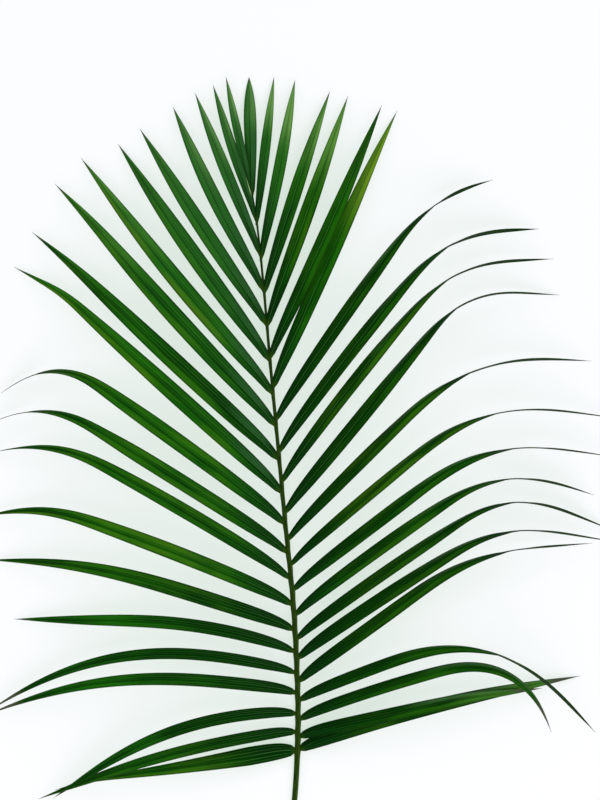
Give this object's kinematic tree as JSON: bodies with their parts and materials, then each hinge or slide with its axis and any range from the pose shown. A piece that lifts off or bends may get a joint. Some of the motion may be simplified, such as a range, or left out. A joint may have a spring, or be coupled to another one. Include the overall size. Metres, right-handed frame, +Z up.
{
  "type": "palm frond",
  "caption": "Cut feather-palm frond lying face up, with a thin curved rachis and long folded leaflets that arch outwards and down.",
  "frame": {"origin": "middle of the frond's box, on the surface that it lies on", "axes": "+Y along the rachis towards the frond's tip, +X to the right seen from above with the tip ahead, +Z up from the surface"},
  "size_m": [0.6312, 0.7836, 0.0502],
  "materials": {
    "frond": "satin leaf green; wood stands in for fresh plant tissue"
  },
  "bodies": {
    "root": {"frond": "frond"}
  },
  "joints": []
}
